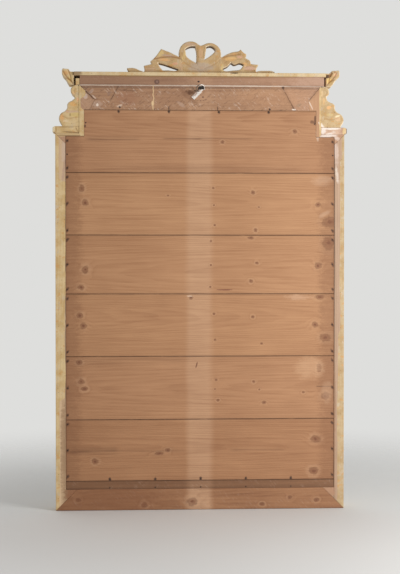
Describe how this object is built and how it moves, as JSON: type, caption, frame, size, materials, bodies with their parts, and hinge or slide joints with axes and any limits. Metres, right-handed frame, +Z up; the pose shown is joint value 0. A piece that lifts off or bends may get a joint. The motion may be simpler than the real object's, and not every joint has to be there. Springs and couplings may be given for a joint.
{
  "type": "wall mirror",
  "caption": "Upright giltwood wall mirror with notched top corners, side scrolls, a cornice, a pierced ribbon-bow crest, a nailed pine back and a hanging ring.",
  "frame": {"origin": "middle of the bottom rail's underside, on the surface that the mirror stands on", "axes": "+Z up, +Y out of the back, -Y out of the glass, +X to the left as seen from behind"},
  "size_m": [0.796, 0.0955, 1.2693],
  "materials": {
    "old_pine": "bare old pine, greyed",
    "board_pine": "bare pine, warm brown",
    "clean_pine": "bare pine",
    "iron": "dark nails",
    "mirror": "old silvered glass",
    "gilding": "gilding on red bole over gesso, worn",
    "ochre": "yellow ochre wash behind, gilding in front",
    "zinc": "bright zinc"
  },
  "bodies": {
    "frame": {"bottom_rail": "old_pine", "left_stile": "old_pine", "right_stile": "old_pine", "left_shoulder": "old_pine", "right_shoulder": "old_pine", "left_neck": "old_pine", "right_neck": "old_pine", "top_rail": "old_pine", "left_rail_block": "old_pine", "right_rail_block": "old_pine", "back_strip": "old_pine", "cornice_board": "old_pine", "backboard_1": "board_pine", "backboard_2": "board_pine", "backboard_3": "board_pine", "backboard_4": "board_pine", "backboard_5": "board_pine", "backboard_6": "board_pine", "glass_blocks": "clean_pine", "crest_pegs": "clean_pine", "board_nails": "iron", "strip_nails": "iron", "mirror_glass": "mirror", "moulding_bottom": "gilding", "moulding_left": "gilding", "moulding_right": "gilding", "moulding_top": "gilding", "moulding_left_shoulder": "gilding", "moulding_right_shoulder": "gilding", "moulding_left_neck": "gilding", "moulding_right_neck": "gilding", "pearls_bottom": "gilding", "pearls_left": "gilding", "pearls_right": "gilding", "pearls_top": "gilding", "pearls_left_corner": "gilding", "pearls_right_corner": "gilding", "cornice_moulding": "ochre", "cornice_end_block": "ochre", "left_ear": "ochre", "right_ear": "ochre", "left_ledge": "ochre", "right_ledge": "ochre", "left_scroll": "ochre", "right_scroll": "ochre", "crest_bow": "ochre", "crest_left_ribbon": "ochre", "crest_right_ribbon": "ochre", "crest_left_leaf": "ochre", "crest_right_leaf": "ochre", "hanger_strap": "zinc", "hanger_screws": "zinc"},
    "ring": {"hanger_ring": "zinc"}
  },
  "joints": [
    {"name": "ring_hinge", "type": "hinge", "parent": "frame", "child": "ring", "pos_m": [0, 0.02473, 1.134], "axis": [0.9703, 0, -0.2419], "range_deg": [-115, 50]}
  ]
}
